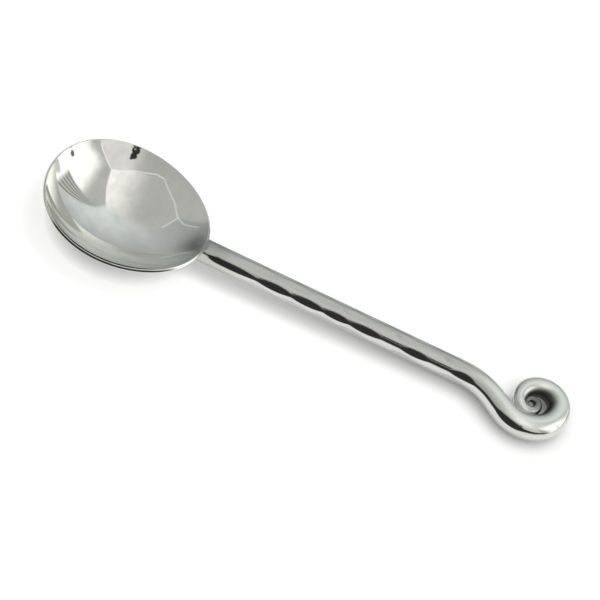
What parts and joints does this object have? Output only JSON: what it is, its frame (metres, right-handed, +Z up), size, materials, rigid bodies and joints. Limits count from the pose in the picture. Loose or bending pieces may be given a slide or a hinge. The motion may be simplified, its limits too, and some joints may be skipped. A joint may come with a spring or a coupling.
{
  "type": "soup spoon",
  "caption": "Soup spoon with an egg-oval dished bowl welded to a hammered round bar handle that bends in an S and ends in a rolled, tapering scroll.",
  "frame": {"origin": "middle of the spoon's outline, on the table it lies on", "axes": "+X along the stem from the bowl towards the scroll, +Y away from the side the stem bends to, +Z up out of the bowl"},
  "size_m": [0.1842, 0.0486, 0.0129],
  "materials": {
    "bowl_steel": "mirror-polished stainless sheet",
    "handle_steel": "hammered and mirror-polished stainless bar",
    "weld_steel": "dressed and polished weld metal"
  },
  "bodies": {
    "root": {"bowl": "bowl_steel", "handle": "handle_steel", "neck_weld": "weld_steel"}
  },
  "joints": []
}
